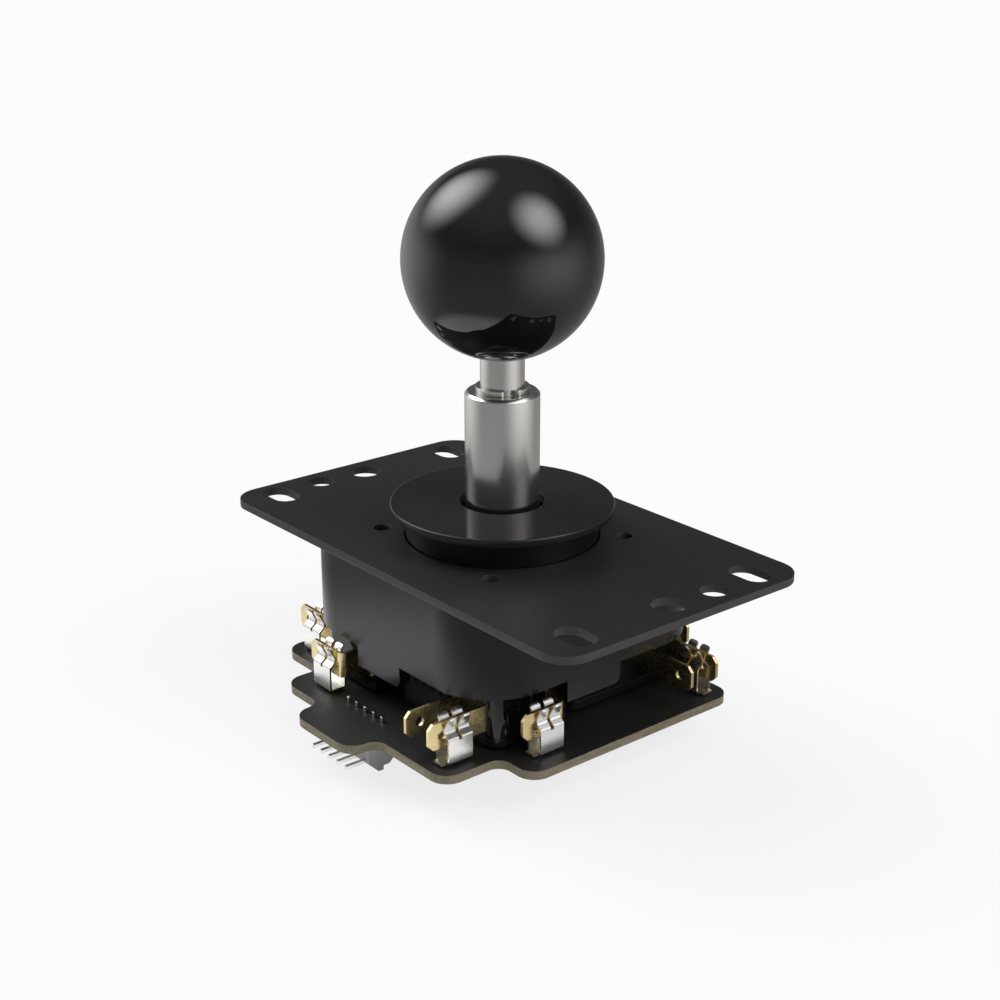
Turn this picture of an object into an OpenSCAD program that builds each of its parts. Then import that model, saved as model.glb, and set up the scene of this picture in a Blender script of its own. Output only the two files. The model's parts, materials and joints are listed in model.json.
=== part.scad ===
// Ball-top arcade lever on a flat mounting plate, with four snap-action switches
// and a push-on circuit board. Millimetres, +Z up, the lever axis is the Z axis
// and the top face of the mounting plate is z = 0.

/* [Mounting plate] */
// Length of the mounting plate
plate_l = 96; // [80:0.5:120]
// Width of the mounting plate
plate_w = 56; // [46:0.5:70]
// Thickness of the mounting plate
plate_t = 1.5; // [1:0.1:2.5]
// Corner radius of the mounting plate
plate_r = 5.5; // [2:0.1:9]
// Distance of a panel slot's centre from the end of the plate
slot_inset_x = 6; // [5:0.1:8]
// Distance of a panel slot's centre from the side of the plate
slot_inset_y = 8; // [6:0.1:10]
// Width of a panel slot
slot_w = 5; // [4:0.1:6]
// Length of a panel slot, end to end
slot_l = 8.2; // [6.5:0.1:10]
// Diameter of the two middle holes
mid_hole_d = 6; // [4:0.1:7.2]
// Distance of a middle hole from the end of the plate
mid_hole_inset = 5.4; // [4.5:0.1:7]
// Diameter of the two small side holes
side_hole_d = 5; // [3:0.1:6]
// Distance of a side hole from the end of the plate
side_hole_inset = 4.8; // [4:0.1:6]
// Distance of a side hole from the plate's long centre line
side_hole_y = 10; // [8:0.1:12]

/* [Housing] */
// Corner radius of the housing
case_r = 12; // [10:0.1:14.4]
// Wall of the housing
case_wall = 2.4; // [2:0.1:3]
// Height of the housing skirt below the plate
skirt_h = 15.9; // [13.2:0.1:19.2]
// Thickness of the housing roof
roof_t = 2.5; // [2:0.1:3]
// Length of the tabs below the skirt
tab_drop = 4; // [2:0.1:5]
// Diameter of the collar that stands through the plate
collar_d = 35; // [29:0.1:42]
// Height of the collar above the plate
collar_h = 4.7; // [3.9:0.1:6]
// Diameter of the plate screws
screw_d = 3; // [2.5:0.1:3.6]

/* [Lever] */
// Diameter of the ball
ball_d = 35; // [29:0.1:42]
// Height of the ball's centre above the plate
ball_z = 50; // [41:0.1:60]
// Length of bare shaft between the cover and the ball
neck_h = 6.3; // [5:0.1:8]
// Diameter of the shaft
shaft_d = 7.9; // [6.5:0.1:9.5]
// Diameter of the lower end of the shaft
tail_d = 5; // [4.1:0.1:6]
// Outer diameter of the shaft cover
cover_d = 13.4; // [11.1:0.1:16.1]
// Thickness of the retaining rings
ring_t = 0.9; // [0.7:0.1:1.1]
// How far the dust disc reaches past the collar
disc_past = 2.75; // [2:0.05:5]
// Thickness of the dust disc
disc_t = 1.5; // [1:0.1:2]
// Radius of the pivot ball
pivot_r = 9; // [7.5:0.1:10.8]
// Height of the pivot centre above the plate
pivot_z = 1; // [0.8:0.1:1.5]
// Gap between the actuator barrel and a plunger at rest
actuator_gap = 1; // [0.8:0.1:1.2]

/* [Switches] */
// Length of a switch
switch_l = 27.8; // [23.1:0.1:33.4]
// Depth of a switch from its plunger face to its terminal face
switch_w = 15.9; // [13.2:0.1:19.1]
// Height of a switch
switch_h = 10.3; // [8.5:0.1:12.4]
// Distance of a switch's plunger face from the lever axis
plunger_face = 6.1; // [5:0.1:7.4]
// Distance of the plunger from the end of its switch
plunger_inset = 3.3; // [2.7:0.1:4]
// Width of a terminal blade
blade_w = 4.8; // [4:0.1:5.8]
// Thickness of a terminal blade
blade_t = 0.6; // [0.5:0.1:0.8]
// Length of a blade outside the terminal face
blade_l = 12; // [10:0.1:14.4]
// Distance of the normally open blade from the end of the switch
open_inset = 2.9; // [2.4:0.1:3.5]
// Spacing of the two blades on the terminal face
blade_pitch = 6.2; // [5.1:0.1:7.5]
// Distance of the common blade from the end of the switch
common_out = 4.3; // [3.5:0.1:5.2]

/* [Circuit board] */
// Thickness of the board
board_t = 1.6; // [1:0.1:2]
// Gap between the switches and the board
board_gap = 0.6; // [0.4:0.1:1]
// Outer width of a tab clip
clip_w = 3.5; // [2.9:0.1:4.2]
// Length of a tab clip along its blade
clip_l = 5.1; // [4.2:0.1:6.2]
// Thickness of the clip metal
clip_t = 0.35; // [0.25:0.05:0.45]
// Gap below the base of a tab clip
clip_lift = 0.9; // [0.3:0.1:1.2]
// Pitch of the header pins
pin_pitch = 2.54; // [2:0.02:3.06]
// Side of a square header pin
pin_w = 0.64; // [0.5:0.01:0.8]
// Number of header pins
pin_n = 5; // [3:1:6]

/* [Hidden] */
$fn = 96;
sink = 1;                        // how far a cutting tool passes a face

// Fits
ring_gap = 0.2;                  // collar to plate hole, radial
run_gap = 0.05;                  // turning fit, radial
ball_gap = 0.15;                 // between the pivot's spheres
slide_gap = 0.1;                 // plunger in its guide, radial
seat_gap = 0.05;                 // faces that turn on each other
grip_gap = 0.02;                 // clip finger to blade
post_gap = 0.05;                 // post in a switch hole, radial
case_gap = 0.08;                 // switch to the housing's wall

// Switch places, the switch on the -Y side
switch_face = plunger_face + switch_w;      // terminal face from the lever axis
switch_end = switch_l - plunger_inset;      // end face on the common blade's side
open_x = switch_end - open_inset;
closed_x = open_x - blade_pitch;
common_x = switch_end + common_out;
common_bend = plunger_face + 4.3;
common_tip = common_bend + 9.3;
blade_tip = switch_face + blade_l;

// Heights
under_plate = -plate_t;
roof_z = under_plate - roof_t;
skirt_z = under_plate - skirt_h;
tab_z = skirt_z - tab_drop;
switch_rise = 0.7;               // switch top above the skirt's edge
switch_top = skirt_z + switch_rise;
switch_floor = switch_top - switch_h;
lid_t = 1.6;                     // cover plate of a switch
board_top = switch_floor - board_gap;
board_floor = board_top - board_t;
blade_z = (switch_top + switch_floor) / 2;

// Housing
case_in = max(switch_end + 0.1, switch_face + 2.6);
case_w = 2 * (case_in + case_wall);
tab_x0 = -7.9;
tab_x1 = 4.5;
tab_r = 1.5;
rib_t = 1.6;
rib_h = 5.2;                     // below the roof
rib_drop = 4;                    // of the diagonal ribs
screw_past = 4.42;               // screw circle past the collar, radial
screw_pitch = (collar_d + 2 * screw_past) / sqrt(2);
screw_head_d = 5.5;
screw_head_h = 2.4;
screw_socket_d = 2.8;
screw_socket_h = 1.4;
screw_hole_gap = 0.2;            // radial, in the housing
screw_head_gap = 0.3;
screw_boss_d = 8.4;
screw_boss_h = 5.2;              // below the roof
screw_skin = 1.2;                // roof left above a screw head
screw_end = 1;                   // screw end below the plate's top face
seat_boss_d = 5.6;
post_d = 3;
post_end = 0.6;                  // post end above the switch's underside

// Pivot
liner_t = 1;
cup_r = pivot_r + 2 * ball_gap + liner_t;
pivot_top = 1.9;                 // above the pivot centre
pivot_bottom = 0.82 * pivot_r;   // below the pivot centre
liner_top = 1;
liner_bottom = 0.78 * pivot_r;
cup_wall = 2.2;
cup_boss_r = cup_r + cup_wall;
cup_floor = pivot_z - cup_r + 0.9;       // open below the pivot ball
cup_hole_r = 0.7 * pivot_r;

// Lever
stud_d = 6;
stud_h = 13;
stud_gap = 0.1;                  // stud in the ball, radial
insert_d = 10;
insert_h = 12;
insert_cap = 0.5;                // closed end of the insert
ball_seat = 0.2;                 // flat of the ball past the shaft, radial
ball_flat = sqrt(pow(ball_d / 2, 2) - pow(shaft_d / 2 + ball_seat, 2));
neck_top = ball_z - ball_flat;
insert_z = neck_top + 2;
cover_top = neck_top - neck_h;
cover_lip = 0.5;
disc_d = collar_d + 2 * disc_past;
disc_hole_d = cover_d + 1.8;
disc_edge = 0.4;
flange_top = switch_top + 3.25;
shoulder_z = flange_top + seat_gap;
flange_t = 1.4;
groove = 0.7;                    // depth of a ring groove
ring_d = shaft_d + 1.7;
lower_ring_d = tail_d + 2;
ring_mouth = 46;                 // opening angle of a retaining ring
ring_turn = -21;                 // where the rings' mouths face
spring_wire = 0.9;
spring_r = cup_hole_r + 1.9;
spring_pitch = 1.15;
spring_sides = 8;
spring_steps = 20;               // per turn
spring_low = flange_top + spring_wire / 2 + seat_gap;
spring_high = cup_floor - spring_wire / 2 - seat_gap;
spring_turns = (spring_high - spring_low) / spring_pitch;
flange_d = 2 * (spring_r + 1.3);

// Switches
hole_inset = 2.8;
hole_pitch = switch_l - 2 * hole_inset;
hole_d = post_d + 2 * post_gap;
plunger_d = 2.4;
plunger_out = 1.3;
plunger_in = 5;
guide_depth = 8;
plunger_tip = plunger_face - plunger_out;
root_in = 1.2;                   // blade root inside the case
blade_chamfer = 1;
blade_hole_d = 1.8;
blade_hole_in = 2.9;             // hole from the blade's tip
bend_r = 0.9;

// Actuator
actuator_d = 2 * (plunger_tip - actuator_gap);
actuator_end = blade_z - 2.15;
lower_ring_z = actuator_end - seat_gap - ring_t;
shaft_end = lower_ring_z - 3.45;
tail_slot_w = 1;
tail_slot_h = 1.4;

// Board
board_w = 2 * blade_tip;
notch_a = open_x + 4.3;          // lobe end, past the open blade
notch_b = common_tip + 2.2;      // notch wall, past the common blade's tip
lobe_r = 3.5;
notch_r = 2.5;
board_hole_d = 16;
header_x = -2.3;
header_y = 29.5;                 // pin row from the lever axis
header_z = board_floor - 4.6;    // height of the pins' free ends
header_tip = header_y + 8.2;
header_front = header_y + 4.2;
header_back = header_y - 1.1;
header_half = (pin_n - 1) / 2 * pin_pitch + 1.3;
header_floor = board_floor - 6.9;
header_chamfer = 2.1;
header_foot = 0.8;               // step at the back of the header
pin_up = 1;                      // pin end above the board
pin_hole_d = sqrt(2) * pin_w + 0.1;
tongue_x0 = header_x - header_half - 1.5;
tongue_x1 = header_x + header_half + 3.3;
tongue_y = board_w / 2 + 6;

// Tab clips
clip_base = board_top + clip_lift;
clip_waist = blade_z + 0.3 - clip_base;
clip_top = clip_waist + 2.25;
clip_slope = 40;                 // of the leaf between knee and waist
clip_flare = 26;                 // of the lip
clip_foot_r = 0.5;
clip_knee_r = 0.6;
clip_waist_r = 0.9;
lip_d = 0.7;
clip_slot_w = 0.7;
clip_tongue = 1.1;
open_clip_y = blade_tip - 5.65;  // middle of the clip along its blade
common_clip_y = common_tip - 5.3;
leg_w = 0.8;
leg_t = 0.35;
leg_in = 1;                      // leg from the clip's end
leg_out = 0.8;                   // leg end below the board
leg_hole_d = norm([leg_w, leg_t]) + 0.13;

// A flat shape with round corners, centred
module round_rect(x, y, r) {
    square([x - 2 * r, y], center = true);
    square([x, y - 2 * r], center = true);
    for (i = [-1, 1], j = [-1, 1])
        translate([i * (x / 2 - r), j * (y / 2 - r)]) circle(r);
}

module slab(x, y, z0, z1, r) {
    translate([0, 0, z0]) linear_extrude(z1 - z0) round_rect(x, y, r);
}

// An upright cylinder between two heights
module rod(d, z0, z1) {
    translate([0, 0, z0]) cylinder(h = z1 - z0, d = d);
}

// Four copies round the lever axis, the first one on the -Y side
module four() {
    for (q = [0:3]) rotate(90 * q) children();
}

module panel_slot() {
    for (i = [-1, 1])
        translate([i * (slot_l - slot_w) / 2, 0]) rod(slot_w, under_plate - sink, sink);
    translate([0, 0, under_plate / 2])
        cube([slot_l - slot_w, slot_w, plate_t + 2 * sink], center = true);
}

module mounting_plate() {
    color([0.13, 0.13, 0.135]) difference() {
        slab(plate_l, plate_w, under_plate, 0, plate_r);
        rod(collar_d + 2 * ring_gap, under_plate - sink, sink);
        for (i = [-1, 1], j = [-1, 1]) {
            translate([i * (plate_l / 2 - slot_inset_x), j * (plate_w / 2 - slot_inset_y)]) panel_slot();
            translate([i * screw_pitch / 2, j * screw_pitch / 2]) rod(screw_d, under_plate - sink, sink);
        }
        for (i = [-1, 1]) {
            translate([i * (plate_l / 2 - mid_hole_inset), 0]) rod(mid_hole_d, under_plate - sink, sink);
            translate([i * (plate_l / 2 - side_hole_inset), i * side_hole_y])
                rod(side_hole_d, under_plate - sink, sink);
        }
    }
}

// One wall tab, with one lower corner rounded
module wall_tab() {
    translate([0, -case_w / 2 + case_wall, 0]) rotate([90, 0, 0]) linear_extrude(case_wall) {
        translate([tab_x0, tab_z + tab_r]) square([tab_x1 - tab_x0, skirt_z - tab_z - tab_r + sink]);
        translate([tab_x0, tab_z]) square([tab_x1 - tab_x0 - tab_r, tab_r + sink]);
        translate([tab_x1 - tab_r, tab_z + tab_r]) circle(tab_r);
    }
}

// Ribs under the roof, from the cup's boss out to the walls and to the screw bosses
module ribs() {
    four() {
        translate([switch_holes[1][0] - rib_t / 2, -case_in - sink, roof_z - rib_h])
            cube([rib_t, case_in + sink - cup_boss_r + sink, rib_h + sink]);
        rotate(45) translate([cup_boss_r - sink, -rib_t / 2, roof_z - rib_drop])
            cube([screw_pitch / sqrt(2) - cup_boss_r, rib_t, rib_drop + sink]);
    }
}

// Places of the two fixing holes of the switch on the -Y side
switch_holes = [for (k = [0, 1]) [switch_end - hole_inset - k * hole_pitch, -switch_face + hole_inset]];

module housing() {
    color([0.16, 0.16, 0.165]) difference() {
        union() {
            difference() {
                slab(case_w, case_w, skirt_z, under_plate, case_r);
                slab(2 * case_in, 2 * case_in, skirt_z - sink, roof_z, case_r - case_wall);
                four() translate([0, 0, skirt_z - sink])
                    linear_extrude(switch_top - skirt_z + sink) switch_outline(case_gap);
            }
            rod(collar_d, under_plate - sink, collar_h);
            rod(2 * cup_boss_r, cup_floor, roof_z + sink);
            four() wall_tab();
            ribs();
            for (i = [-1, 1], j = [-1, 1])
                translate([i * screw_pitch / 2, j * screw_pitch / 2])
                    rod(screw_boss_d, roof_z - screw_boss_h, roof_z + sink);
            four() for (p = switch_holes) translate(p) {
                rod(seat_boss_d, switch_top, roof_z + sink);
                rod(post_d, switch_floor + post_end, switch_top + sink);
            }
        }
        translate([0, 0, pivot_z]) sphere(cup_r);
        rod(2 * cup_r, pivot_z, collar_h + sink);
        rod(2 * cup_hole_r, cup_floor - sink, pivot_z);
        for (i = [-1, 1], j = [-1, 1]) translate([i * screw_pitch / 2, j * screw_pitch / 2]) {
            rod(screw_d + 2 * screw_hole_gap, roof_z - screw_boss_h - sink, under_plate + sink);
            rod(screw_head_d + 2 * screw_head_gap, roof_z - screw_boss_h - sink, under_plate - screw_skin);
        }
    }
}

module plate_screws() {
    color([0.14, 0.14, 0.14]) for (i = [-1, 1], j = [-1, 1])
        translate([i * screw_pitch / 2, j * screw_pitch / 2]) difference() {
            union() {
                rod(screw_d - 2 * grip_gap, under_plate - screw_skin - sink, -screw_end);
                rod(screw_head_d, under_plate - screw_skin - screw_head_h, under_plate - screw_skin);
            }
            translate([0, 0, under_plate - screw_skin - screw_head_h - sink])
                cylinder(h = sink + screw_socket_h, d = screw_socket_d, $fn = 6);
        }
}

// Flat disc that lies loose on the collar, with its rim's edges rounded
module dust_disc() {
    color([0.1, 0.1, 0.1]) translate([0, 0, collar_h]) difference() {
        rotate_extrude() intersection() {
            translate([-disc_d / 2, 0]) offset(r = disc_edge, $fn = 24) offset(delta = -disc_edge)
                square([disc_d, disc_t]);
            square([disc_d, disc_t]);
        }
        rod(disc_hole_d, -sink, disc_t + sink);
    }
}

module ball_top() {
    color([0.05, 0.05, 0.05]) difference() {
        translate([0, 0, ball_z]) sphere(d = ball_d);
        rod(ball_d, ball_z - ball_d, neck_top);
        rod(stud_d + 2 * stud_gap, neck_top - sink, insert_z + sink);
        rod(insert_d, insert_z, insert_z + insert_h);
    }
}

module ball_insert() {
    color([0.78, 0.66, 0.36]) difference() {
        rod(insert_d, insert_z, insert_z + insert_h);
        rod(stud_d + 2 * grip_gap, insert_z - sink, insert_z + insert_h - insert_cap);
    }
}

module ring_groove(d, z) {
    difference() {
        rod(d + sink, z - seat_gap, z + ring_t + seat_gap);
        rod(d - 2 * groove, z - sink, z + ring_t + sink);
    }
}

module shaft() {
    color([0.72, 0.71, 0.69]) difference() {
        union() {
            rod(shaft_d, shoulder_z, neck_top);
            rod(stud_d, neck_top - sink, neck_top + stud_h);
            rod(tail_d, shaft_end, shoulder_z + sink);
        }
        ring_groove(shaft_d, cover_top + seat_gap);
        ring_groove(tail_d, lower_ring_z);
        translate([0, 0, shaft_end]) cube([tail_slot_w, tail_d + sink, 2 * tail_slot_h], center = true);
    }
}

module shaft_cover() {
    color([0.7, 0.69, 0.67]) difference() {
        union() {
            rod(cover_d, pivot_z + pivot_top, cover_top - cover_lip);
            translate([0, 0, cover_top - cover_lip])
                cylinder(h = cover_lip, d1 = cover_d, d2 = cover_d - 2 * cover_lip);
        }
        rod(shaft_d + 2 * run_gap, pivot_z, cover_top + sink);
    }
}

// An open retaining ring that snaps into a groove, with the two ends rounded
module snap_ring(outer, inner, z, turn) {
    middle = (outer + inner) / 4;
    translate([0, 0, z]) rotate(turn) linear_extrude(ring_t) {
        difference() {
            circle(d = outer);
            circle(d = inner);
            polygon([[0, 0], for (s = [-1, 1]) outer * [cos(s * ring_mouth / 2), sin(s * ring_mouth / 2)]]);
        }
        for (s = [-1, 1]) rotate(s * ring_mouth / 2) translate([middle, 0]) circle(d = (outer - inner) / 2);
    }
}

module upper_ring() {
    color([0.8, 0.79, 0.77])
        snap_ring(ring_d, shaft_d - 2 * groove + 2 * grip_gap, cover_top + seat_gap, ring_turn);
}

module lower_ring() {
    color([0.6, 0.6, 0.6])
        snap_ring(lower_ring_d, tail_d - 2 * groove + 2 * grip_gap, lower_ring_z, ring_turn);
}

module pivot_ball() {
    color([0.85, 0.85, 0.82]) difference() {
        intersection() {
            translate([0, 0, pivot_z]) sphere(pivot_r);
            rod(2 * cup_r, pivot_z - pivot_bottom, pivot_z + pivot_top);
        }
        rod(shaft_d + 2 * run_gap, pivot_z - pivot_r - sink, pivot_z + pivot_r + sink);
    }
}

// Thin seat between the pivot ball and the cup, spherical inside and outside
module pivot_liner() {
    inner = pivot_r + ball_gap;
    color([0.93, 0.93, 0.9]) difference() {
        intersection() {
            translate([0, 0, pivot_z]) sphere(inner + liner_t);
            rod(2 * cup_r, pivot_z - liner_bottom, pivot_z + liner_top);
        }
        translate([0, 0, pivot_z]) sphere(inner);
    }
}

// Coil points: angle t in turns from 0 to spring_turns
function coil_z(t) = spring_low + (spring_high - spring_low) * t / spring_turns;
function coil_ring(t) = [for (k = [0:spring_sides - 1])
    let (a = 360 * k / spring_sides, rr = spring_r + spring_wire / 2 * cos(a))
        [rr * cos(360 * t), rr * sin(360 * t), coil_z(t) + spring_wire / 2 * sin(a)]];

module centring_spring() {
    steps = floor(spring_turns * spring_steps);
    points = [for (i = [0:steps]) each coil_ring(spring_turns * i / steps)];
    sides = [for (i = [0:steps - 1], k = [0:spring_sides - 1])
        let (m = (k + 1) % spring_sides, a = i * spring_sides)
            [a + k, a + k + spring_sides, a + m + spring_sides, a + m]];
    last = steps * spring_sides;
    color([0.75, 0.75, 0.76]) polyhedron(points, concat(
        [[for (k = [0:spring_sides - 1]) k]], sides,
        [[for (k = [spring_sides - 1:-1:0]) last + k]]), convexity = 8);
}

module actuator() {
    color([0.9, 0.9, 0.88]) difference() {
        union() {
            rod(flange_d, flange_top - flange_t, flange_top);
            rod(actuator_d, actuator_end, flange_top);
        }
        rod(tail_d + 2 * run_gap, actuator_end - sink, flange_top + sink);
    }
}

// Outline of a switch on the -Y side, with its two outer corners rounded, and
// larger all round by a given gap
module switch_outline(gap = 0) {
    translate([switch_end - switch_l - gap, -switch_face + hole_inset])
        square([switch_l + 2 * gap, switch_w - hole_inset + gap]);
    translate([switch_end - switch_l + hole_inset, -switch_face - gap])
        square([switch_l - 2 * hole_inset, switch_w + 2 * gap]);
    for (x = [switch_end - switch_l + hole_inset, switch_end - hole_inset])
        translate([x, -switch_face + hole_inset]) circle(hole_inset + gap);
}

module switch_slice(z0, z1) {
    difference() {
        translate([0, 0, z0]) linear_extrude(z1 - z0) switch_outline();
        for (p = switch_holes) translate(p) rod(hole_d, z0 - sink, z1 + sink);
    }
}

module switch_case() {
    color([0.07, 0.07, 0.07]) difference() {
        switch_slice(switch_floor + lid_t, switch_top);
        translate([0, -switch_face + switch_w + sink, blade_z]) rotate([90, 0, 0])
            cylinder(h = guide_depth + sink, d = plunger_d + 2 * slide_gap);
        for (x = [closed_x, open_x])
            translate([x - blade_t / 2, -switch_face - sink, blade_z - blade_w / 2])
                cube([blade_t, root_in + sink, blade_w]);
        translate([switch_end - root_in, -common_bend - blade_t / 2, blade_z - blade_w / 2])
            cube([root_in + sink, blade_t, blade_w]);
    }
}

module switch_cover() {
    color([0.09, 0.09, 0.09]) switch_slice(switch_floor, switch_floor + lid_t);
}

module plunger() {
    back = plunger_tip + plunger_out + plunger_in;
    color([0.75, 0.1, 0.08]) {
        translate([0, -plunger_tip - plunger_d / 2, blade_z]) rotate([90, 0, 0])
            cylinder(h = back - plunger_tip - plunger_d / 2, d = plunger_d);
        translate([0, -plunger_tip - plunger_d / 2, blade_z]) sphere(d = plunger_d);
    }
}

// A flat blade along -Y from y0 to its tip, centred on x = 0
module blade(y0, tip) {
    translate([blade_t / 2, 0, blade_z]) rotate([90, 0, -90]) linear_extrude(blade_t) difference() {
        polygon([[y0, -blade_w / 2], [tip - blade_chamfer, -blade_w / 2],
                 [tip, -blade_w / 2 + blade_chamfer], [tip, blade_w / 2 - blade_chamfer],
                 [tip - blade_chamfer, blade_w / 2], [y0, blade_w / 2]]);
        translate([tip - blade_hole_in, 0]) circle(d = blade_hole_d, $fn = 32);
    }
}

module straight_terminal(x) {
    color([0.78, 0.7, 0.5]) translate([x, 0, 0]) blade(switch_face - root_in, blade_tip);
}

// The common terminal leaves the end of the switch and bends round to run along -Y
module common_terminal() {
    corner = [common_x - bend_r, -common_bend - bend_r];
    color([0.78, 0.7, 0.5]) {
        translate([switch_end - root_in, -common_bend - blade_t / 2, blade_z - blade_w / 2])
            cube([corner[0] - switch_end + root_in, blade_t, blade_w]);
        translate([corner[0], corner[1], blade_z - blade_w / 2]) intersection() {
            difference() {
                cylinder(h = blade_w, r = bend_r + blade_t / 2);
                translate([0, 0, -sink]) cylinder(h = blade_w + 2 * sink, r = bend_r - blade_t / 2);
            }
            cube(2 * bend_r + blade_w);
        }
        translate([common_x, 0, 0]) blade(-corner[1], common_tip);
    }
}

// A strip of the clip metal bent along a list of points
module strip(points) {
    for (i = [0:len(points) - 2]) {
        step = points[i + 1] - points[i];
        translate(points[i]) rotate(atan2(step[1], step[0])) translate([0, -clip_t / 2])
            square([norm(step), clip_t]);
        translate(points[i + 1]) circle(d = clip_t, $fn = 16);
    }
}

// Points on an arc, from one angle to another
function arc(centre, r, a0, a1) =
    [for (k = [0:4]) let (a = a0 + (a1 - a0) * k / 4) centre + r * [cos(a), sin(a)]];

// Half of a clip's section, from the base up one leaf: wall, knee, waist and flared lip
module leaf_section() {
    wall_x = (clip_w - clip_t) / 2;
    pinch_x = (blade_t + clip_t) / 2 + grip_gap;
    waist = [pinch_x + clip_waist_r, clip_waist];
    run = (clip_waist_r + clip_knee_r) * cos(clip_slope) - (waist[0] - wall_x + clip_knee_r);
    rise = (clip_waist_r + clip_knee_r) * sin(clip_slope) + run / tan(clip_slope);
    knee = [wall_x - clip_knee_r, clip_waist - rise];
    lip_z = clip_top - lip_d / 2;
    lip_run = (lip_z - clip_waist - clip_waist_r * sin(clip_flare)) * tan(clip_flare);
    lip = [waist[0] - clip_waist_r * cos(clip_flare) + lip_run, lip_z];
    strip(concat([[0, clip_t / 2]],
        arc([wall_x - clip_foot_r, clip_t / 2 + clip_foot_r], clip_foot_r, -90, 0),
        arc(knee, clip_knee_r, 0, clip_slope),
        arc(waist, clip_waist_r, 180 + clip_slope, 180 - clip_flare), [lip]));
    translate(lip) circle(d = lip_d, $fn = 24);
}

// A clip that grips a blade along -Y, centred on x = 0 and on the given distance
module tab_clip(y) {
    color([0.87, 0.86, 0.83]) {
        difference() {
            translate([0, -y + clip_l / 2, clip_base]) rotate([90, 0, 0]) linear_extrude(clip_l) {
                leaf_section();
                mirror([1, 0]) leaf_section();
            }
            translate([-clip_w, -y - clip_slot_w / 2, clip_base + clip_waist - 1.9])
                cube([2 * clip_w, clip_slot_w, clip_top]);
        }
        translate([-clip_w / 2 + clip_foot_r, -y - clip_l / 2 - clip_tongue, clip_base])
            cube([clip_w - 2 * clip_foot_r, clip_tongue + sink, clip_t]);
        for (s = [-1, 1])
            translate([-leg_w / 2, -y + s * (clip_l / 2 - leg_in) - leg_t / 2, board_floor - leg_out])
                cube([leg_w, leg_t, clip_base - board_floor + leg_out + clip_t / 2]);
    }
}

module open_clip() {
    translate([open_x, 0, 0]) tab_clip(open_clip_y);
}

module common_clip() {
    translate([common_x, 0, 0]) tab_clip(common_clip_y);
}

module board_outline() {
    offset(r = -notch_r) offset(r = notch_r + lobe_r) offset(delta = -lobe_r) {
        difference() {
            square(board_w, center = true);
            four() translate([notch_a, -board_w / 2 - sink])
                square([board_w, board_w / 2 + sink - notch_b]);
        }
        translate([tongue_x0, -tongue_y]) square([tongue_x1 - tongue_x0, tongue_y]);
    }
}

// Places of the header's pins
pin_spots = [for (k = [0:pin_n - 1]) [header_x + (k - (pin_n - 1) / 2) * pin_pitch, -header_y]];

module clip_holes(x, y) {
    for (s = [-1, 1])
        translate([x, -y + s * (clip_l / 2 - leg_in), board_floor - sink])
            cylinder(h = board_t + 2 * sink, d = leg_hole_d, $fn = 24);
}

module circuit_board() {
    color([0.12, 0.12, 0.12]) difference() {
        translate([0, 0, board_floor]) linear_extrude(board_t) board_outline($fn = 48);
        rod(board_hole_d, board_floor - sink, board_top + sink);
        four() {
            clip_holes(open_x, open_clip_y);
            clip_holes(common_x, common_clip_y);
        }
        for (p = pin_spots) translate([p[0], p[1], board_floor - sink])
            cylinder(h = board_t + 2 * sink, d = pin_hole_d, $fn = 24);
    }
}

// One bent pin: an upright part through the board and a part along -Y
module header_pin(top) {
    translate([-pin_w / 2, -pin_w / 2, header_z - pin_w / 2])
        cube([pin_w, pin_w, top - header_z + pin_w / 2]);
    translate([-pin_w / 2, header_y - header_tip, header_z - pin_w / 2])
        cube([pin_w, header_tip - header_y, pin_w]);
}

module header_pins() {
    color([0.8, 0.8, 0.8]) for (p = pin_spots) translate(p) header_pin(board_top + pin_up);
}

module header_body() {
    color([0.75, 0.75, 0.75]) difference() {
        translate([header_x - header_half, 0, 0]) rotate([90, 0, 90]) linear_extrude(2 * header_half)
            polygon([[-header_front, board_floor], [-header_front, header_floor + header_chamfer],
                     [-header_front + header_chamfer, header_floor],
                     [-header_back - header_chamfer, header_floor],
                     [-header_back - header_chamfer, header_floor + header_foot],
                     [-header_back - header_foot, header_floor + header_foot],
                     [-header_back, header_floor + 2 * header_foot], [-header_back, board_floor]]);
        for (p = pin_spots) translate(p) header_pin(board_top);
    }
}

mounting_plate();
housing();
plate_screws();
dust_disc();
ball_top();
ball_insert();
shaft();
shaft_cover();
upper_ring();
lower_ring();
pivot_ball();
pivot_liner();
centring_spring();
actuator();
for (q = [0:3]) rotate(90 * q) {
    switch_case();
    switch_cover();
    plunger();
    common_terminal();
    straight_terminal(open_x);
    straight_terminal(closed_x);
    common_clip();
    open_clip();
}
circuit_board();
header_body();
header_pins();
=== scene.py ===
import json
import math

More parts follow.
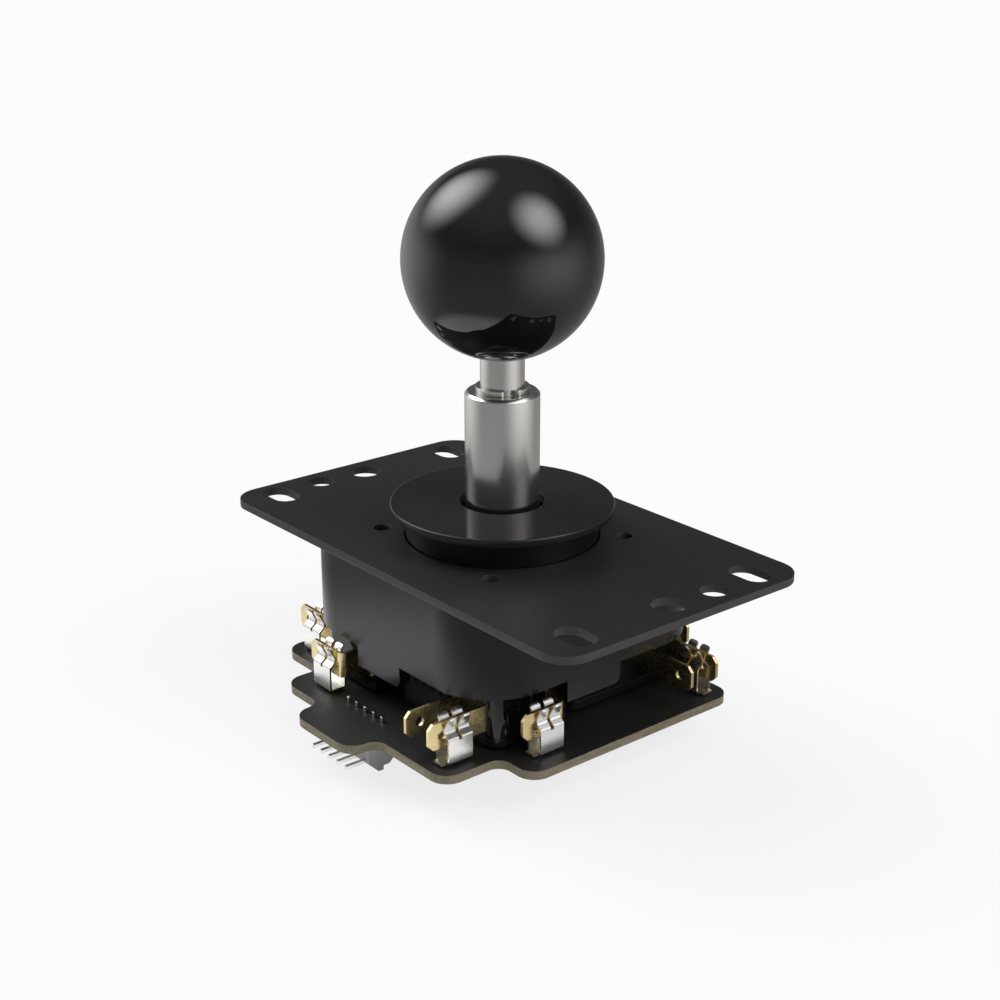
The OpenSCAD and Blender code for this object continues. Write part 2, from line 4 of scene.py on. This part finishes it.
import bmesh
import bpy
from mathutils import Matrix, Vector


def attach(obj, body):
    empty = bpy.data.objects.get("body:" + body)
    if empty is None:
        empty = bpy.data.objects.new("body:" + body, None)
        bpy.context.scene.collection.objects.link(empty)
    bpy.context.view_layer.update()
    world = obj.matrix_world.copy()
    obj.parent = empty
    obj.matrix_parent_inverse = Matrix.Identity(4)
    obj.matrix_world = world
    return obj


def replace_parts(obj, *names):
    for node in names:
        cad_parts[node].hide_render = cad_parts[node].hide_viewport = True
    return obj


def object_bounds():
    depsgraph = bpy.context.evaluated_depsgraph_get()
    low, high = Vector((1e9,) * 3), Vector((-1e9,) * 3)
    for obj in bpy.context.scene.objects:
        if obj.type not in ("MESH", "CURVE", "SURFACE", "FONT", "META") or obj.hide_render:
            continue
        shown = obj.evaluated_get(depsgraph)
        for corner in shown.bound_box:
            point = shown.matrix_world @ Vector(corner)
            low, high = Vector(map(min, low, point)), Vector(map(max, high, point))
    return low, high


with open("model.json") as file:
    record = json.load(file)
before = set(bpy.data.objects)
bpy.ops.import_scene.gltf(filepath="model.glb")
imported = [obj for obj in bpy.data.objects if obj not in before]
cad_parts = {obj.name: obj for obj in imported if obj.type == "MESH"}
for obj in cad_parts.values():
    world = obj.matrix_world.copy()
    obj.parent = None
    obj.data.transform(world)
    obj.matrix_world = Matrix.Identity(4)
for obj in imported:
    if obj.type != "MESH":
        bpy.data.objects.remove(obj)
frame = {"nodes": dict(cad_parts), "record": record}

CAD_BOX = [list(c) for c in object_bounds()]
NODES = frame["nodes"]
FLOOR_Z = CAD_BOX[0][2]
MM = 0.001

# The photograph's camera: place in metres, turn and dip in degrees, lens and sensor in millimetres
CAMERA_AT = (0.2275, -0.1892, 0.1156)
CAMERA_TURN = 50.332
CAMERA_DIP = 20.313
CAMERA_LENS = 63.18
SENSOR = 36.0

# Soft boxes of the studio, high on both sides: direction, radius in degrees and radiance
BOXES = (
    ((0.615, 0.264, 0.73), 35, 4.4),
    ((-0.640, -0.237, 0.731), 36, 4.8),
)
# A weaker band of light hangs below each of them: its level direction and radiance
SIDE = (0.938, 0.347, 0.0)
BAND = 0.72
# Level direction from the object to the camera
FRONT = (0.769, -0.639, 0.0)

UP = (0, 0, 1)
BALL_AT = (0, 0, 0.05)

# The card on the floor: inner and outer radius, height over the floor, and its white spot, in metres
CARD_NEAR, CARD_FAR, CARD_LIFT = 0.035, 4.4, 0.0003
SPOT_X, SPOT_Y, SPOT_NEAR, SPOT_FAR = -0.012, -0.016, 0.05, 0.08

# Pieces are drawn in millimetres. The switches, their clips and the solder repeat in four quarter turns
QUARTERS = ((1, 0), (0, 1), (-1, 0), (0, -1))
# Each clip of the first quarter: node name and place
CLIPS = (("open_clip", 21.6, -28.35), ("common_clip", 28.8, -14.4))
HALF_STRIP = 0.175
CLIP_HALF = 2.55
SLOT_HALF = 0.35
LEG_AT = 1.55
LEG_END = -30.0
BOARD_FLOOR = -29.2


def link(name, data):
    """A new object in the scene."""
    obj = bpy.data.objects.new(name, data)
    bpy.context.scene.collection.objects.link(obj)
    return obj


def add_camera():
    data = bpy.data.cameras.new("camera")
    data.lens = CAMERA_LENS
    data.sensor_width = SENSOR
    data.sensor_fit = "HORIZONTAL"
    data.clip_start = 0.01
    cam = link("camera", data)
    cam.location = CAMERA_AT
    cam.rotation_euler = (math.radians(90 - CAMERA_DIP), 0, math.radians(CAMERA_TURN))
    bpy.context.scene.camera = cam


class Tree:
    """The node tree of a material or world, with short calls to add nodes and link them."""

    def __init__(self, owner):
        owner.use_nodes = True
        self.tree = owner.node_tree

    def add(self, kind, **values):
        node = self.tree.nodes.new(kind)
        for key, value in values.items():
            setattr(node, key, value)
        return node

    def put(self, value, socket):
        """Links an output to the socket, or sets the socket to a constant."""
        if isinstance(value, bpy.types.NodeSocket):
            self.tree.links.new(value, socket)
        else:
            socket.default_value = value

    def show(self, shader):
        self.put(shader, self.tree.nodes["Material Output"].inputs["Surface"])

    def math(self, op, a, b=0.0):
        node = self.add("ShaderNodeMath", operation=op)
        self.put(a, node.inputs[0])
        self.put(b, node.inputs[1])
        return node.outputs[0]

    def vector(self, op, a, b=None, out="Vector"):
        node = self.add("ShaderNodeVectorMath", operation=op)
        self.put(a, node.inputs[0])
        if b is not None:
            self.put(b, node.inputs[1])
        return node.outputs[out]

    def dot(self, vector, direction):
        return self.vector("DOT_PRODUCT", vector, Vector(direction).normalized(), "Value")

    def ramp(self, value, a, b, low=0.0, high=1.0, smooth=True):
        """From low at a to high at b, and level beyond them."""
        node = self.add("ShaderNodeMapRange")
        node.interpolation_type = "SMOOTHSTEP" if smooth else "LINEAR"
        names = ("Value", "From Min", "From Max", "To Min", "To Max")
        for name, v in zip(names, (value, a, b, low, high)):
            self.put(v, node.inputs[name])
        return node.outputs["Result"]

    def whiten(self, light, where):
        """The light where the factor is 0, and 1 where it is 1."""
        kept = self.math("MULTIPLY", light, self.math("SUBTRACT", 1.0, where))
        return self.math("ADD", kept, where)

    def mix(self, fac, a, b):
        """Mixes two colours, which a Mix node has at inputs 6 and 7 and output 2."""
        node = self.add("ShaderNodeMix", data_type="RGBA")
        self.put(fac, node.inputs[0])
        self.put(a, node.inputs[6])
        self.put(b, node.inputs[7])
        return node.outputs[2]

    def noise(self, scale, detail, rough, stretch=(1, 1, 1)):
        at = self.add("ShaderNodeTexCoord")
        mapping = self.add("ShaderNodeMapping")
        self.put(stretch, mapping.inputs["Scale"])
        self.put(at.outputs["Object"], mapping.inputs["Vector"])
        node = self.add("ShaderNodeTexNoise")
        self.put(scale, node.inputs["Scale"])
        self.put(detail, node.inputs["Detail"])
        self.put(rough, node.inputs["Roughness"])
        self.put(mapping.outputs["Vector"], node.inputs["Vector"])
        return node.outputs["Fac"]

    def bump(self, height, strength, distance, normal=None):
        node = self.add("ShaderNodeBump")
        self.put(strength, node.inputs["Strength"])
        self.put(distance, node.inputs["Distance"])
        self.put(height, node.inputs["Height"])
        if normal is not None:
            self.put(normal, node.inputs["Normal"])
        return node.outputs["Normal"]

    def edge(self, radius):
        node = self.add("ShaderNodeBevel", samples=4)
        self.put(radius, node.inputs["Radius"])
        return node.outputs["Normal"]


def grey(v):
    return (v, v, v, 1)


def surface(name, color, rough, metal=0.0, spec=0.5, spread=0.06, grain=900, detail=3.0,
            rough_spread=0.05, bump=0.0, bump_at=0.00002, edge=0.0):
    """A material with a little procedural variation of colour and roughness, a bump and a rounded edge."""
    mat = bpy.data.materials.new(name)
    t = Tree(mat)
    bsdf = mat.node_tree.nodes["Principled BSDF"]
    bsdf.inputs["Metallic"].default_value = metal
    bsdf.inputs["Specular IOR Level"].default_value = spec
    wave = t.noise(grain, detail, 0.55)
    low = tuple(c * (1 - spread) for c in color) + (1,)
    high = tuple(min(1, c * (1 + spread)) for c in color) + (1,)
    t.put(t.mix(wave, low, high), bsdf.inputs["Base Color"])
    t.put(t.ramp(wave, 0.3, 0.7, rough - rough_spread, rough + rough_spread), bsdf.inputs["Roughness"])
    normal = t.edge(edge) if edge else None
    if bump:
        normal = t.bump(wave, bump, bump_at, normal)
    if normal is not None:
        t.put(normal, bsdf.inputs["Normal"])
    return mat, t, bsdf


def recolor(t, bsdf, fac, color):
    """Mixes another colour over the base colour where fac is 1."""
    old = bsdf.inputs["Base Color"].links[0].from_socket
    t.put(t.mix(fac, old, color), bsdf.inputs["Base Color"])


def upright(t):
    """1 on upright faces, such as a sheet's cut edges, and 0 on those that look up or down."""
    geo = t.add("ShaderNodeNewGeometry")
    level = t.math("ABSOLUTE", t.dot(geo.outputs["Normal"], UP))
    return t.ramp(level, 0.5, 0.3)


def steel(name, color, rough, lines=1.0):
    """Turned steel: fine rings round the lever's axis."""
    mat, t, bsdf = surface(name, color, rough, metal=1.0, spread=0.02, grain=60,
                           rough_spread=0.02, edge=0.00015)
    rings = t.noise(4000, 2.0, 0.5, (0.001, 0.001, 1))
    recolor(t, bsdf, t.ramp(rings, 0.3, 0.7, 0.0, 0.08 * lines), grey(0.3))
    return mat


def plate_material():
    """Black powder coat, with a painted lighter side: the upright cut edges are painted paler, standing in for
    the light that falls on them.
    """
    mat, t, bsdf = surface("plate", (0.021, 0.021, 0.0212), 0.38, spec=0.22, spread=0.3, grain=3800,
                           detail=4, rough_spread=0.08, bump=0.45, bump_at=0.00005)
    # Painted highlight: upright cut edges get a paler grey so that they read as lit
    recolor(t, bsdf, upright(t), grey(0.055))
    return mat


def board_material():
    """Black solder mask, with khaki glass layers on the cut edge."""
    mat, t, bsdf = surface("board", (0.019, 0.019, 0.0185), 0.5, spec=0.35, spread=0.3, grain=2600,
                           detail=4, rough_spread=0.05, bump=0.2, bump_at=0.00003)
    layers = t.noise(160, 4.0, 0.7, (1, 1, 26))
    weave = t.noise(2600, 3.0, 0.6, (1, 1, 0.4))
    grain = t.math("MULTIPLY", t.ramp(layers, 0.3, 0.7, 0.72, 1.18), t.ramp(weave, 0.3, 0.7, 0.8, 1.15))
    khaki = t.add("ShaderNodeVectorMath", operation="SCALE")
    khaki.inputs[0].default_value = (0.225, 0.195, 0.13)
    t.put(grain, khaki.inputs["Scale"])
    recolor(t, bsdf, upright(t), khaki.outputs["Vector"])
    return mat


def clip_material(name, along):
    """Bright tin, with the bronze showing on the faces that were cut across the strip."""
    mat, t, bsdf = surface(name, (0.97, 0.965, 0.94), 0.3, metal=1.0, spread=0.03, grain=1500,
                           rough_spread=0.03)
    geo = t.add("ShaderNodeNewGeometry")
    cut = t.math("ABSOLUTE", t.dot(geo.outputs["True Normal"], along))
    recolor(t, bsdf, t.ramp(cut, 0.9, 0.97, 0, 0.75), (0.62, 0.42, 0.16, 1))
    return mat


def make_materials():
    made = {
        "plate": plate_material(),
        "board": board_material(),
        "cover": steel("cover", (0.78, 0.755, 0.725), 0.21),
        "shaft": steel("shaft", (0.78, 0.755, 0.725), 0.21),
        "ring": steel("ring", (0.78, 0.76, 0.73), 0.22, 0.4),
        "clip_y": clip_material("clip_y", (0, 1, 0)),
        "clip_x": clip_material("clip_x", (1, 0, 0)),
    }
    # Colour, roughness and the rest of what surface() takes
    plain = {
        "housing": ((0.006, 0.006, 0.0061), 0.22,
                    dict(spec=0.52, spread=0.1, grain=1600, rough_spread=0.02, bump=0.02,
                         bump_at=0.00001, edge=0.00025)),
        "blade": ((0.84, 0.7, 0.37), 0.28,
                  dict(metal=1.0, spread=0.05, grain=1500, rough_spread=0.03, edge=0.00008)),
        "screw": ((0.05, 0.05, 0.052), 0.35, dict(metal=0.8, grain=1500)),
        "disc": ((0.017, 0.017, 0.017), 0.045,
                 dict(spec=0.28, spread=0.1, grain=400, rough_spread=0.01)),
        "spring": ((0.55, 0.55, 0.56), 0.25, dict(metal=1.0, grain=900)),
        "header": ((0.55, 0.55, 0.545), 0.45, dict(spread=0.04, grain=1200, edge=0.0001)),
        "pin": ((0.8, 0.79, 0.77), 0.2, dict(metal=1.0, grain=1200, edge=0.0002)),
        "liner": ((0.72, 0.72, 0.69), 0.5, dict(spread=0.03)),
        "pivot": ((0.72, 0.72, 0.69), 0.3, dict(spread=0.03)),
        "actuator": ((0.74, 0.74, 0.71), 0.4, dict(spread=0.03, edge=0.0002)),
        "ball": ((0.003, 0.003, 0.003), 0.05,
                 dict(spec=0.8, spread=0.1, grain=150, rough_spread=0.01)),
        "insert": ((0.7, 0.55, 0.28), 0.3, dict(metal=1.0, grain=900)),
        "switch": ((0.006, 0.006, 0.006), 0.08,
                   dict(spec=0.45, spread=0.1, edge=0.0002, rough_spread=0.02)),
        "switch_lid": ((0.008, 0.008, 0.008), 0.22,
                       dict(spec=0.5, spread=0.1, edge=0.0002, rough_spread=0.03)),
        "plunger": ((0.5, 0.03, 0.02), 0.4, dict(spread=0.05)),
    }
    for name, (color, rough, extra) in plain.items():
        made[name] = surface(name, color, rough, **extra)[0]
    return made


def paint(obj, mat):
    obj.data.materials.clear()
    obj.data.materials.append(mat)


def clip_paint(quarter):
    """Clips lie along y in the even quarters, counted from 0, and along x in the odd ones."""
    return "clip_x" if quarter % 2 else "clip_y"


def paint_nodes(mats):
    slots = {s["node"]: s["material_slot"] for s in frame["record"]["subparts"]}
    for name, obj in NODES.items():
        slot = slots[name]
        paint(obj, mats[clip_paint(int(name[-1]) - 1) if slot == "clip" else slot])


def finish_piece(name, mesh, slot, mats, body, sharp=32, paint_as=None):
    """Puts a mesh on a body, smooth but for level faces and edges that turn by more than sharp degrees."""
    bm = bmesh.new()
    bm.from_mesh(mesh)
    for f in bm.faces:
        f.normal_update()
        f.smooth = abs(f.normal.z) < 0.9999
    for e in bm.edges:
        e.smooth = len(e.link_faces) == 2 and e.calc_face_angle(0) < math.radians(sharp)
    bm.to_mesh(mesh)
    bm.free()
    obj = link(name, mesh)
    paint(obj, mats[paint_as or slot])
    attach(obj, body)
    return obj


def rounded(corners, steps):
    """A closed outline from (x, y, radius) corners, each rounded by its radius."""
    out = []
    n = len(corners)
    for i, (x, y, r) in enumerate(corners):
        p = Vector((x, y))
        a = (Vector(corners[i - 1][:2]) - p).normalized()
        b = (Vector(corners[(i + 1) % n][:2]) - p).normalized()
        half = a.angle(b) / 2
        start = p + a * (r / math.tan(half))
        end = p + b * (r / math.tan(half))
        centre = p + (a + b).normalized() * (r / math.sin(half))
        u, v = start - centre, end - centre
        turn = u.angle_signed(v)
        for k in range(steps + 1):
            t = -turn * k / steps
            c, s = math.cos(t), math.sin(t)
            out.append((centre.x + u.x * c - u.y * s, centre.y + u.x * s + u.y * c))
    return out


def ring(x, y, r, n=48):
    turns = [2 * math.pi * k / n for k in range(n)]
    return [(x + r * math.cos(a), y + r * math.sin(a)) for a in turns]


def long_hole(x, y, length, width, n=16):
    half = (length - width) / 2
    r = width / 2
    out = []
    for side, start in ((1, -90), (-1, 90)):
        for k in range(n + 1):
            a = math.radians(start + 180 * k / n)
            out.append((x + side * half + r * math.cos(a), y + r * math.sin(a)))
    return out


def ring_verts(bm, x, y, r, z, n):
    return [bm.verts.new((px * MM, py * MM, z * MM)) for px, py in ring(x, y, r, n)]


def bridge(bm, row, nxt):
    """Quads between two rings of equally many points."""
    n = len(row)
    for k in range(n):
        m = (k + 1) % n
        bm.faces.new((row[k], row[m], nxt[m], nxt[k]))


def tube(bm, rows):
    """A skin over rings of equally many points, closed at both ends."""
    for row, nxt in zip(rows, rows[1:]):
        bridge(bm, row, nxt)
    bm.faces.new(rows[0][::-1])
    bm.faces.new(rows[-1])


def box(bm, x0, x1, y0, y1, z0, z1):
    v = [bm.verts.new((x * MM, y * MM, z * MM)) for z in (z0, z1) for y in (y0, y1) for x in (x0, x1)]
    for f in ((0, 2, 3, 1), (4, 5, 7, 6), (0, 1, 5, 4), (2, 6, 7, 3), (0, 4, 6, 2), (1, 3, 7, 5)):
        bm.faces.new([v[k] for k in f])


def mesh_from(bm, name):
    bmesh.ops.recalc_face_normals(bm, faces=bm.faces)
    mesh = bpy.data.meshes.new(name)
    bm.to_mesh(mesh)
    bm.free()
    return mesh


def lathe(profile, sides):
    """A closed mesh from a closed (radius, height) outline, turned round the lever's axis."""
    bm = bmesh.new()
    rows = []
    for r, z in profile:
        on_axis = r < 1e-6
        rows.append([bm.verts.new((0, 0, z * MM))] if on_axis else ring_verts(bm, 0, 0, r, z, sides))
    for i, row in enumerate(rows):
        nxt = rows[(i + 1) % len(rows)]
        if len(row) == len(nxt) == sides:
            bridge(bm, row, nxt)
        elif len(row) == sides:
            for k in range(sides):
                bm.faces.new((row[k], row[(k + 1) % sides], nxt[0]))
        elif len(nxt) == sides:
            for k in range(sides):
                bm.faces.new((row[0], nxt[(k + 1) % sides], nxt[k]))
    return mesh_from(bm, "lathe")


def sheet_mesh(outlines, z0, z1, bevel):
    """A flat sheet with bevelled edges. The first outline is the outside and the rest are holes."""
    data = bpy.data.curves.new("sheet", "CURVE")
    data.dimensions = "2D"
    data.fill_mode = "BOTH"
    data.extrude = (z1 - z0) / 2 * MM - bevel * MM
    data.bevel_depth = bevel * MM
    data.bevel_resolution = 3
    data.offset = -bevel * MM
    for outline in outlines:
        spline = data.splines.new("POLY")
        spline.points.add(len(outline) - 1)
        for p, (x, y) in zip(spline.points, outline):
            p.co = (x * MM, y * MM, 0, 1)
        spline.use_cyclic_u = True
    curve = link("sheet", data)
    curve.location = (0, 0, (z0 + z1) / 2 * MM)
    bpy.context.view_layer.update()
    mesh = bpy.data.meshes.new_from_object(curve.evaluated_get(bpy.context.evaluated_depsgraph_get()))
    mesh.transform(curve.matrix_world)
    mesh.materials.clear()
    bpy.data.objects.remove(curve)
    bm = bmesh.new()
    bm.from_mesh(mesh)
    bmesh.ops.remove_doubles(bm, verts=bm.verts, dist=1e-7)
    bm.to_mesh(mesh)
    bm.free()
    return mesh


def add_plate(mats):
    half_l, half_w, corner_r, thick = 48, 28, 5.5, 1.5
    corners = ((-half_l, -half_w), (half_l, -half_w), (half_l, half_w), (-half_l, half_w))
    outer = rounded([(x, y, corner_r) for x, y in corners], 12)
    collar_r, mid_x, mid_r, side_x, side_y, side_r = 17.7, 42.6, 3, 43.2, 10, 2.5
    slot_x, slot_y, slot_l, slot_w, screw_xy, screw_r = 42, 20, 8.2, 5, 15.5, 1.5
    holes = [ring(0, 0, collar_r, 128)]
    for i in (-1, 1):
        holes.append(ring(i * mid_x, 0, mid_r))
        holes.append(ring(i * side_x, i * side_y, side_r))
        for j in (-1, 1):
            holes.append(long_hole(i * slot_x, j * slot_y, slot_l, slot_w))
            holes.append(ring(i * screw_xy, j * screw_xy, screw_r, 32))
    mesh = sheet_mesh([outer] + holes, -thick, 0, 0.12)
    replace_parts(finish_piece("plate_sheet", mesh, "plate", mats, "base"), "mounting_plate")


def add_ball(mats):
    """The ball, with a flat where it meets the shaft and a blind hole for the insert's stud."""
    flat_z, centre_z, r, steps = 33.0, 50.0, 17.5, 72
    hole_r, hole_top = 3.1, 48.0
    start = math.asin((flat_z - centre_z) / r)
    angles = [start + (math.pi / 2 - start) * k / steps for k in range(steps + 1)]
    arc = [(r * math.cos(a), centre_z + r * math.sin(a)) for a in angles]
    arc[-1] = (0, centre_z + r)
    inner = [(0, hole_top), (hole_r, hole_top), (hole_r, flat_z + 0.15), (hole_r + 0.1, flat_z)]
    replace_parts(finish_piece("ball_shell", lathe(arc + inner, 160), "ball", mats, "grip"), "ball_top")


def add_disc(mats):
    hole_r, outer_r, low, top = 7.6, 20.25, 4.7, 6.2
    corners = [(hole_r, low, 0.12), (outer_r, low, 0.3), (outer_r, top, 0.4), (hole_r, top, 0.2)]
    profile = rounded(corners, 5)
    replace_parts(finish_piece("disc_sheet", lathe(profile, 192), "disc", mats, "base"), "dust_disc")


def add_cover(mats):
    bore_r, outer_r, low, top, chamfer, lead = 4.0, 6.7, 2.9, 26.7, 0.5, 0.25
    corners = [(bore_r, low, 0.1), (outer_r, low, 0.2), (outer_r, top - chamfer, 0.25),
               (outer_r - chamfer, top, 0.15), (bore_r + lead, top, 0.1), (bore_r, top - lead, 0.1)]
    profile = rounded(corners, 4)
    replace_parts(finish_piece("cover_sleeve", lathe(profile, 160), "cover", mats, "lever"), "shaft_cover")


def clip_path():
    """Middle line of half a clip's section, from the base up one leaf, and the index where the slot starts."""
    wall, waist_z, pinch = 1.575, -21.1, 0.44
    base = -27.2 + HALF_STRIP
    foot_r, knee_r, waist_r, slope, flare = 0.25, 0.35, 1.1, 50, 24
    waist_x = pinch + waist_r
    s0, c0 = math.sin(math.radians(slope)), math.cos(math.radians(slope))
    run = wall - knee_r + knee_r * c0 - (waist_x - waist_r * c0)
    knee_z = waist_z - waist_r * s0 - run * c0 / s0 - knee_r * s0
    # Points 0.05 mm beside the bends keep the flat walls' shading flat
    beside = 0.05
    points = [(0.0, base), (wall - foot_r - beside, base), (wall - foot_r, base)]

    def arc(x, z, r, a0, a1, n):
        for k in range(n + 1):
            a = math.radians(a0 + (a1 - a0) * k / n)
            points.append((x + r * math.cos(a), z + r * math.sin(a)))

    arc(wall - foot_r, base + foot_r, foot_r, -80, 0, 6)
    points.append((wall, base + foot_r + beside))
    split = len(points)
    points.append((wall, knee_z - 0.25))
    points.append((wall, knee_z - beside))
    arc(wall - knee_r, knee_z, knee_r, 0, slope, 7)
    arc(waist_x, waist_z, waist_r, 180 + slope, 180 - flare, 14)
    # The lip: a straight flare, and then ten short steps that roll outwards
    for step, turn in [(beside, 0), (1.25, 0)] + [(0.08, 4.1)] * 10:
        flare += turn
        x, z = points[-1]
        way = math.radians(flare)
        points.append((x + step * math.sin(way), z + step * math.cos(way)))
    return points, split


def clip_strip(bm, points, widths, middle, side):
    """A strip of clip metal along the points, with a half width at each, on one side of the blade."""
    rows = []
    for i, (x, z) in enumerate(points):
        a, b = Vector(points[max(i - 1, 0)]), Vector(points[min(i + 1, len(points) - 1)])
        step = (b - a).normalized()
        row = []
        for face, way in ((-1, -1), (-1, 1), (1, 1), (1, -1)):
            off = face * HALF_STRIP
            row.append(bm.verts.new((side * (x + step.y * off) * MM, (middle + way * widths[i]) * MM,
                                     (z - step.x * off) * MM)))
        rows.append(row)
    tube(bm, rows)


def leaf_widths(points, leaf):
    """Half widths of a leaf: it tapers a little towards the lip, whose corners are round."""
    taper, taper_from, taper_over, corner_r = 0.1, 2.2, 1.2, 0.5
    reach = [0.0] * len(points)
    for i in range(len(points) - 2, -1, -1):
        reach[i] = reach[i + 1] + (Vector(points[i]) - Vector(points[i + 1])).length
    widths = []
    for r in reach:
        w = leaf - taper * max(0.0, min(1.0, (taper_from - r) / taper_over))
        if r < corner_r:
            w -= corner_r - math.sqrt(max(0.0, corner_r ** 2 - (corner_r - r) ** 2))
        widths.append(w)
    return widths


def clip_mesh():
    points, split = clip_path()
    leaf = (CLIP_HALF - SLOT_HALF) / 2
    widths = leaf_widths(points, leaf)
    bm = bmesh.new()
    for side in (-1, 1):
        clip_strip(bm, points[:split + 1], [CLIP_HALF] * (split + 1), 0, side)
        for way in (-1, 1):
            clip_strip(bm, points[split:], widths[split:], way * (SLOT_HALF + leaf), side)
    base = points[0][1]
    tongue = HALF_STRIP - 0.001
    box(bm, -1.15, 1.15, -CLIP_HALF - 1.1, -CLIP_HALF + 0.1, base - tongue, base + tongue)
    for way in (-1, 1):
        box(bm, -0.4, 0.4, way * LEG_AT - 0.17, way * LEG_AT + 0.17, LEG_END, base + 0.1)
    return mesh_from(bm, "clip")


def add_clips(mats):
    """The tab clips with finer bends, and lips with round corners."""
    for name, x, y in CLIPS:
        for q, (c, s) in enumerate(QUARTERS):
            mesh = clip_mesh()
            for v in mesh.vertices:
                vx, vy = v.co.x + x * MM, v.co.y + y * MM
                v.co.x, v.co.y = c * vx - s * vy, s * vx + c * vy
            node = f"{name}_{q + 1}"
            piece = finish_piece(f"{node}_strip", mesh, "clip", mats, "base", 40, clip_paint(q))
            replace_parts(piece, node)


def add_solder(mats):
    """A hollow cone of solder round each clip leg, below the board."""
    height, foot_r, tip_share, steps, sides = 0.9, 0.85, 0.28, 6, 20
    bm = bmesh.new()
    for c, s in QUARTERS:
        for _, x, y in CLIPS:
            for d in (-LEG_AT, LEG_AT):
                px, py = c * x - s * (y + d), s * x + c * (y + d)
                rows = []
                for k in range(steps + 1):
                    a = k / steps
                    r = foot_r * ((1 - a) ** 1.7 * (1 - tip_share) + tip_share)
                    rows.append(ring_verts(bm, px, py, r, BOARD_FLOOR - height * a, sides))
                tube(bm, rows)
    finish_piece("solder_joints", mesh_from(bm, "solder"), "pin", mats, "base")


def add_stage():
    """A pale floor under the object. The camera sees it near white, and it keeps the shadow."""
    half = 3.0
    mesh = bpy.data.meshes.new("floor")
    corners = ((-half, -half), (half, -half), (half, half), (-half, half))
    mesh.from_pydata([(x, y, FLOOR_Z) for x, y in corners], [], [(0, 1, 2, 3)])
    floor = link("floor", mesh)
    mat = bpy.data.materials.new("floor")
    t = Tree(mat)
    bsdf = mat.node_tree.nodes["Principled BSDF"]
    bsdf.inputs["Base Color"].default_value = grey(0.85)
    bsdf.inputs["Roughness"].default_value = 0.9
    bsdf.inputs["Specular IOR Level"].default_value = 0.0
    glow = t.add("ShaderNodeEmission")
    glow.inputs["Color"].default_value = grey(1.0)
    path = t.add("ShaderNodeLightPath")
    seen = t.math("ADD", path.outputs["Is Camera Ray"], path.outputs["Is Glossy Ray"])
    seen = t.math("ADD", seen, path.outputs["Is Transmission Ray"])
    mixer = t.add("ShaderNodeMixShader")
    t.put(t.math("MULTIPLY", seen, 0.8), mixer.inputs[0])
    t.put(bsdf.outputs[0], mixer.inputs[1])
    t.put(glow.outputs[0], mixer.inputs[2])
    t.show(mixer.outputs[0])
    mesh.materials.append(mat)


def studio_light(t, way):
    """The studio's radiance in a direction: a soft grey all round, with bands and boxes of light."""
    height = t.dot(way, UP)
    light = t.math("ADD", t.ramp(height, 0.35, 0.95, 0.13, 0.28), t.ramp(height, -0.1, 0.45, 0.13, 0.0))
    # Dimmer behind the object, above the horizon
    behind = t.ramp(t.dot(way, FRONT), -0.9, 0.1, 0.4, 0.0)
    behind = t.math("MULTIPLY", behind, t.ramp(height, -0.15, 0.1))
    light = t.math("MULTIPLY", light, t.math("SUBTRACT", 1.0, behind))
    light = t.math("ADD", light, t.ramp(height, -0.7, 0.0, 0.05, 0.0))
    # The bands at both sides
    level = t.vector("NORMALIZE", t.vector("MULTIPLY", way, (1, 1, 0)))
    across = t.math("ABSOLUTE", t.dot(level, SIDE))
    across = t.math("POWER", t.ramp(across, 0.5, 1, 0, 1, smooth=False), 2.0)
    tall = t.math("MULTIPLY", t.ramp(height, -0.75, -0.05), t.ramp(height, 0.0, 0.5, 1, 0))
    light = t.math("ADD", light, t.math("MULTIPLY", t.math("MULTIPLY", across, tall), BAND))
    for direction, radius, radiance in BOXES:
        edge = math.cos(math.radians(radius))
        fall = t.ramp(t.dot(way, direction), edge, 1, 0, 1, smooth=False)
        light = t.math("ADD", light, t.math("MULTIPLY", t.math("POWER", fall, 2.0), radiance))
    return light


def add_card():
    """A card on the floor round the object, that only reflections see. It carries on the light above the
    horizon, as seen from the ball, and is white close to the object."""
    low = FLOOR_Z + CARD_LIFT
    sides = 72
    verts = [(x, y, low) for r in (CARD_NEAR, CARD_FAR) for x, y in ring(0, 0, r, sides)]
    faces = [(k, (k + 1) % sides, sides + (k + 1) % sides, sides + k) for k in range(sides)]
    mesh = bpy.data.meshes.new("card")
    mesh.from_pydata(verts, [], faces)
    card = link("card", mesh)
    card.visible_camera = False
    card.visible_diffuse = False
    card.visible_shadow = False
    mat = bpy.data.materials.new("card")
    t = Tree(mat)
    at = t.add("ShaderNodeTexCoord").outputs["Object"]
    light = studio_light(t, t.vector("NORMALIZE", t.vector("SUBTRACT", at, BALL_AT)))
    off = t.vector("DISTANCE", at, (SPOT_X, SPOT_Y, low), "Value")
    light = t.whiten(light, t.ramp(off, SPOT_NEAR, SPOT_FAR, 1, 0))
    glow = t.add("ShaderNodeEmission")
    t.put(light, glow.inputs["Strength"])
    t.show(glow.outputs[0])
    mesh.materials.append(mat)


def add_world():
    """The studio's light, with plain white where the camera sees past the floor."""
    world = bpy.data.worlds.new("world")
    bpy.context.scene.world = world
    t = Tree(world)
    light = studio_light(t, t.add("ShaderNodeTexCoord").outputs["Generated"])
    light = t.whiten(light, t.add("ShaderNodeLightPath").outputs["Is Camera Ray"])
    back = world.node_tree.nodes["Background"]
    t.put(light, back.inputs["Strength"])
    back.inputs["Color"].default_value = (1, 1, 1, 1)
    bpy.context.scene.view_settings.view_transform = "Standard"


add_camera()
add_stage()
add_card()
add_world()
mats = make_materials()
paint_nodes(mats)
add_plate(mats)
add_ball(mats)
add_disc(mats)
add_cover(mats)
add_clips(mats)
add_solder(mats)
